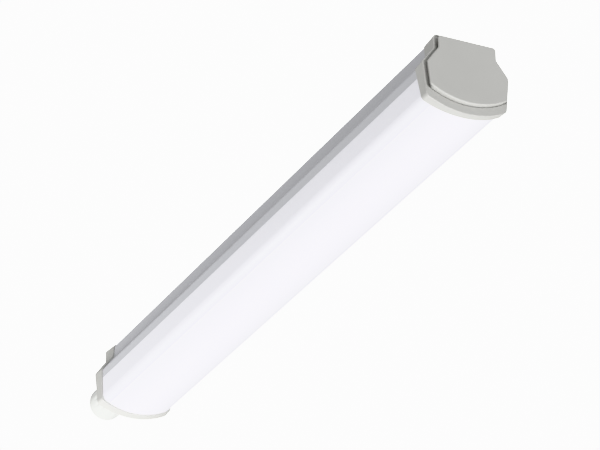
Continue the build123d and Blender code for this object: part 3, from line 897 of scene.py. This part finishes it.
@dataclass
class CableConnector:
    """The outside connector: flanged body, terminal insert, grommet and fluted clamping nut.

    A corner's rounding is a row of steps, each a run along X with the cut into the radius there.
    """

    nodes: tuple[str, ...] = (
        "connector_seal",
        "connector_locknut",
        "terminal_insert",
        "terminal_contacts",
        "thrust_ring",
        "cable_grommet",
    )
    body_flats: int = 72
    stem_length: float = 12.0
    stem_radius: float = 10.0
    stem_bore: float = 6.5
    stem_ridges: int = 7
    stem_lead: float = 0.4
    flange_thickness: float = 5.0
    flange_round: float = 0.5
    flange_corner: float = 0.15
    barrel_radius: float = 11.0
    barrel_bore: float = 8.6
    barrel_ridges: int = 14
    thread_pitch: float = 1.5
    thread_depth: float = 0.6
    thread_relief: float = 1.0
    ridge_start: float = 0.45
    ridge_end: float = 0.6
    flutes: int = 18
    flats_per_flute: int = 8
    flute_depth: float = 0.75
    flute_length: float = 42.0
    flute_sharpness: int = 3
    flute_margins: tuple[float, float] = (0.5, 1.5)
    grip_rings: tuple[float, ...] = (2.0, 4.0, 20.0, 39.0, 42.0)
    mouth_round: tuple[tuple[float, float], ...] = ((0.0, 0.6), (0.2, 0.2), (0.8, 0.0))
    mouth_lead: tuple[float, float] = (0.6, 0.5)
    nut_bore: float = 11.05
    neck: float = 2.5
    dome: float = 7.0
    dome_steps: int = 8
    outlet_radius: float = 7.0
    outlet_length: float = 10.0
    outlet_round: tuple[tuple[float, float], ...] = ((0.0, 0.6), (0.2, 0.15), (0.7, 0.0))
    skin: float = 0.01

    def build(self) -> None:
        """Make the body and the nut, and dress the CAD parts between them."""
        self.body()
        dress_nodes(*self.nodes)
        self.nut()

    def thread(self, start: float, turns: int, radius: float) -> Profile:
        """Draw the outline of a thread.

        Args:
            start: the place along X where it begins; it runs towards -X.
            turns: how many ridges it has.
            radius: the radius over the ridges.

        Returns:
            Places along X with their radii.
        """
        root = radius - self.thread_depth
        line = []
        for turn in range(turns):
            x = start - turn * self.thread_pitch
            line.append((x, root))
            line += [(x - part * self.thread_pitch, radius) for part in (self.ridge_start, self.ridge_end)]
        return line + [(start - turns * self.thread_pitch, root)]

    def body(self) -> None:
        """Turn the connector's fixed half: threaded stem, round flange and threaded barrel."""
        low, high = box_mm("connector_body")
        z = (low.z + high.z) / 2
        radius = (high.z - low.z) / 2
        flange = high.x - self.stem_length
        barrel = flange - self.flange_thickness
        edge, corner = self.flange_round, self.flange_corner
        profile = [(high.x, self.stem_radius - self.thread_relief)]
        profile += self.thread(high.x - self.stem_lead, self.stem_ridges, self.stem_radius)
        profile += [(flange, self.stem_radius - self.thread_depth), (flange, radius - edge)]
        profile += [(flange - corner, radius - corner), (flange - edge, radius)]
        profile += [(barrel + edge, radius), (barrel + corner, radius - corner)]
        profile += [(barrel, radius - edge), (barrel, self.barrel_radius)]
        profile += self.thread(barrel - self.thread_relief, self.barrel_ridges, self.barrel_radius)
        profile.append((low.x + self.thread_depth, self.barrel_radius - self.thread_depth))
        profile.append((low.x, self.barrel_radius - self.thread_relief))
        profile += [(low.x, self.barrel_bore), (barrel, self.barrel_bore)]
        profile += [(barrel, self.stem_bore), (high.x, self.stem_bore)]
        shape = Shape()
        shape.turn(profile, z, self.body_flats)
        piece = shape.piece("connector_moulding")
        PAINT.dress(piece, FINISHES["connector_grey"])
        stand_in(piece, "batten", "connector_grey", "connector_body")

    def nut_profile(self, low: Vector, high: Vector) -> Profile:
        """Draw the nut's outside, from its mouth to its domed end, and then its bore.

        Args:
            low: the lowest corner of the nut's node.
            high: its highest corner.

        Returns:
            Places along X with their radii.
        """
        radius = (high.z - low.z) / 2
        line = [(high.x - run, radius - cut) for run, cut in self.mouth_round]
        line += [(high.x - run, radius) for run in self.grip_rings]
        line.append((low.x + self.dome + self.neck, radius))
        for step in range(self.dome_steps):
            angle = step / self.dome_steps * math.pi / 2
            x = low.x + self.dome * (1 - math.sin(angle))
            line.append((x, radius - self.dome + self.dome * math.cos(angle)))
        line.append((low.x, radius - self.dome))
        line += [(low.x + run, self.outlet_radius + cut) for run, cut in self.outlet_round]
        seat = low.x + self.outlet_length
        line += [(seat, self.outlet_radius), (seat, self.nut_bore)]
        run, rise = self.mouth_lead
        return line + [(high.x - run, self.nut_bore), (high.x, self.nut_bore + rise)]

    def nut(self) -> None:
        """Turn the nut, then press the flutes into its grip."""
        low, high = box_mm("cable_nut")
        z = (low.z + high.z) / 2
        radius = (high.z - low.z) / 2
        shape = Shape()
        shape.turn(self.nut_profile(low, high), z, self.flutes * self.flats_per_flute)
        by_dome, by_mouth = self.flute_margins
        start, stop = high.x - self.flute_length + by_dome, high.x - by_mouth
        for vert in shape.bm.verts:
            away = Vector((0, vert.co.y, vert.co.z - z))
            if away.length < radius - self.skin or not start < vert.co.x < stop:
                continue
            turn = math.atan2(away.y, away.z) * self.flutes
            press = self.flute_depth * (0.5 + 0.5 * math.cos(turn)) ** self.flute_sharpness
            vert.co = Vector((vert.co.x, 0, z)) + away * (1 - press / away.length)
        piece = shape.piece("clamping_nut")
        PAINT.dress(piece, FINISHES["connector_grey"])
        stand_in(piece, "cable_nut", "connector_grey", "cable_nut")


@dataclass
class MountingClip:
    """One spring clip in the housing's back channel: a drilled plate over two bent arms."""

    end: End
    plate_thickness: float = 1.2
    corner: float = 2.25
    corner_flats: int = 5
    hole_radius: float = 2.25
    arm_thickness: float = 0.8
    arm_outer: float = 7.4
    arm_gap: float = 0.01
    hook_reach: float = 3.4
    bend: float = 1.3
    bend_flats: int = 4
    edge_round: float = 0.1

    def plate(self, shape: Shape, low: Vector, high: Vector) -> None:
        """Add the rounded plate, with its screw hole.

        Args:
            shape: the shape that it joins.
            low: the lowest corner of the clip's node.
            high: its highest corner.
        """
        middle = Vector(((low.x + high.x) / 2, 0, high.z - self.plate_thickness))
        made = bmesh.ops.create_grid(shape.bm, x_segments=1, y_segments=1, size=0.5)["verts"]
        bmesh.ops.scale(shape.bm, vec=(high.x - low.x, high.y - low.y, 1), verts=made)
        bmesh.ops.translate(shape.bm, vec=middle, verts=made)
        shape.bevel(made, self.corner, self.corner_flats, Rounding.CORNERS)
        outer = shape.bm.edges[:]
        bmesh.ops.delete(shape.bm, geom=shape.bm.faces[:], context="FACES_ONLY")
        hole = bmesh.ops.create_circle(shape.bm, segments=len(outer), radius=self.hole_radius)["verts"]
        bmesh.ops.translate(shape.bm, vec=middle, verts=hole)
        rim = list(dict.fromkeys(edge for vert in hole for edge in vert.link_edges))
        ring = bmesh.ops.bridge_loops(shape.bm, edges=outer + rim)["faces"]
        raised = bmesh.ops.extrude_face_region(shape.bm, geom=ring)["geom"]
        top = [item for item in raised if isinstance(item, BMVert)]
        bmesh.ops.translate(shape.bm, vec=(0, 0, self.plate_thickness), verts=top)

    def arm(self, shape: Shape, low: Vector, high: Vector, side: int) -> None:
        """Add one arm, bent outwards into a hook.

        Args:
            shape: the shape that it joins.
            low: the lowest corner of the clip's node.
            high: its highest corner.
            side: the side of Y that it is on, 1 or -1.
        """
        web_y = side * (self.arm_outer - self.arm_thickness)
        tip_y = side * (self.arm_outer + self.hook_reach)
        top_z = high.z - self.plate_thickness - self.arm_gap
        route = [(web_y, top_z), (web_y, low.z), (tip_y, low.z)]
        points = [shape.bm.verts.new((low.x, y, z)) for y, z in route]
        lines = [shape.bm.edges.new(pair) for pair in zip(points, points[1:])]
        drawn = bmesh.ops.extrude_edge_only(shape.bm, edges=lines)["geom"]
        far = [item for item in drawn if isinstance(item, BMVert)]
        bmesh.ops.translate(shape.bm, vec=(high.x - low.x, 0, 0), verts=far)
        faces = [item for item in drawn if isinstance(item, BMFace)]
        fold = [
            edge
            for edge in shape.bm.edges
            if len(edge.link_faces) == 2 and all(face in faces for face in edge.link_faces)
        ]
        shape.bevel(fold, self.bend, self.bend_flats)
        sheet = [face for face in shape.bm.faces if any(edge.is_boundary for edge in face.edges)]
        bmesh.ops.recalc_face_normals(shape.bm, faces=sheet)
        bmesh.ops.solidify(shape.bm, geom=sheet, thickness=self.arm_thickness)

    def build(self) -> None:
        """Build the clip over its CAD node."""
        node = f"mounting_clip_{self.end.word}"
        low, high = box_mm(node)
        shape = Shape()
        self.plate(shape, low, high)
        for side in (1, -1):
            self.arm(shape, low, high, side)
        piece = shape.piece(f"spring_clip_{self.end.word}")
        soft = piece.modifiers.new("edges", "BEVEL")
        soft.width = self.edge_round * MM
        soft.segments = 2
        soft.limit_method = "ANGLE"
        PAINT.dress(piece, FINISHES["spring_steel"])
        stand_in(piece, f"clip_{self.end.word}", "spring_steel", node)


# ---------------------------------------------------------------- studio
@dataclass
class Viewpoint:
    """Where the camera stands, as angles round a point just under the batten's middle."""

    azimuth: float = 63.39
    elevation: float = -26.90
    roll: float = -0.87
    distance: float = 2.446
    lens: float = 187.4
    sensor: float = 36.0
    aim_z: float = -0.030
    right_shift: float = 0.0132
    up_shift: float = 0.0170
    nearest: float = 0.05
    farthest: float = 100.0

    def build(self) -> None:
        """Make the camera and let the scene use it."""
        turn, lift, tilt = (math.radians(angle) for angle in (self.azimuth, self.elevation, self.roll))
        back = Vector((math.sin(turn) * math.cos(lift), -math.cos(turn) * math.cos(lift), math.sin(lift)))
        level = (-back).cross(Vector((0, 0, 1))).normalized()
        above = level.cross(-back)
        right = level * math.cos(tilt) + above * math.sin(tilt)
        up = above * math.cos(tilt) - level * math.sin(tilt)
        place = Vector((0, 0, self.aim_z)) + back * self.distance
        place += right * self.right_shift + up * self.up_shift
        data = bpy.data.cameras.new("camera")
        data.lens = self.lens
        data.sensor_width = self.sensor
        data.clip_start = self.nearest
        data.clip_end = self.farthest
        camera = bpy.data.objects.new("camera", data)
        camera.matrix_world = Matrix.Translation(place) @ Matrix((right, up, back)).transposed().to_4x4()
        bpy.context.scene.collection.objects.link(camera)
        bpy.context.scene.camera = camera


@dataclass
class Lamp:
    """A soft square light that faces the batten."""

    name: str
    place: Triple
    aim: Triple
    size: float
    power: float

    def build(self) -> None:
        """Make the light."""
        data = bpy.data.lights.new(self.name, "AREA")
        data.shape = "SQUARE"
        data.size = self.size
        data.energy = self.power
        lamp = bpy.data.objects.new(self.name, data)
        turned = (Vector(self.aim) - Vector(self.place)).to_track_quat("-Z", "Y").to_matrix().to_4x4()
        lamp.matrix_world = Matrix.Translation(self.place) @ turned
        bpy.context.scene.collection.objects.link(lamp)


@dataclass
class Studio:
    """White surroundings, a pale floor well below the ceiling, and soft lights."""

    floor_drop: float = 2.6
    floor_size: float = 90.0
    seen_white: float = 3.0
    fill: float = 0.50
    lamps: list[Lamp] = field(default_factory=list)

    def surroundings(self) -> None:
        """Make a world that looks white, and lights the batten more gently than it looks."""
        world = bpy.data.worlds.new("white_room")
        world.use_nodes = True
        tree = world.node_tree
        tree.nodes.clear()
        output = tree.nodes.new("ShaderNodeOutputWorld")
        mixer = tree.nodes.new("ShaderNodeMixShader")
        rays = tree.nodes.new("ShaderNodeLightPath")
        tree.links.new(rays.outputs["Is Camera Ray"], mixer.inputs["Fac"])
        for slot, strength in ((1, self.fill), (2, self.seen_white)):
            shade = tree.nodes.new("ShaderNodeBackground")
            shade.inputs["Color"].default_value = (1, 1, 1, 1)
            shade.inputs["Strength"].default_value = strength
            tree.links.new(shade.outputs["Background"], mixer.inputs[slot])
        tree.links.new(mixer.outputs["Shader"], output.inputs["Surface"])
        bpy.context.scene.world = world

    def floor(self) -> None:
        """Lay a wide pale floor."""
        shape = Shape()
        made = bmesh.ops.create_grid(shape.bm, x_segments=2, y_segments=2, size=self.floor_size / MM / 2)
        bmesh.ops.translate(shape.bm, vec=(0, 0, -self.floor_drop / MM), verts=made["verts"])
        piece = shape.piece("floor")
        PAINT.dress(piece, FLOOR_PAINT)

    def build(self) -> None:
        """Set the surroundings, the floor and the lights."""
        bpy.context.scene.view_settings.view_transform = "Khronos PBR Neutral"
        self.surroundings()
        self.floor()
        for lamp in self.lamps:
            lamp.build()


LAMPS = [
    Lamp("under_light", place=(0.3, -0.15, -1.9), aim=(0, 0, -0.03), size=1.2, power=31.0),
    Lamp("front_light", place=(2.6, 0.2, -0.5), aim=(0.2, 0, -0.03), size=1.2, power=26.0),
    Lamp("side_light", place=(0.2, -1.6, 1.0), aim=(0, 0, -0.02), size=1.0, power=5.2),
    Lamp("far_light", place=(-0.52, -0.29, -0.40), aim=(-0.32, 0, -0.03), size=0.25, power=1.9),
    Lamp("back_light", place=(-0.4, 0.8, 1.8), aim=(0, 0, 0), size=1.6, power=14.0),
]


def main() -> None:
    """Build every sub-assembly, then the studio."""
    logging.basicConfig(level=logging.INFO, format="%(name)s: %(message)s")
    assemblies: list[Assembly] = [
        Shell(),
        EndCap(End.NEAR),
        EndCap(End.FAR),
        Gear(),
        Wiring(),
        CableConnector(),
        MountingClip(End.NEAR),
        MountingClip(End.FAR),
        Studio(lamps=LAMPS),
        Viewpoint(),
    ]
    for assembly in assemblies:
        assembly.build()
        log.info("%s done", type(assembly).__name__)


if __name__ == "__main__":
    main()
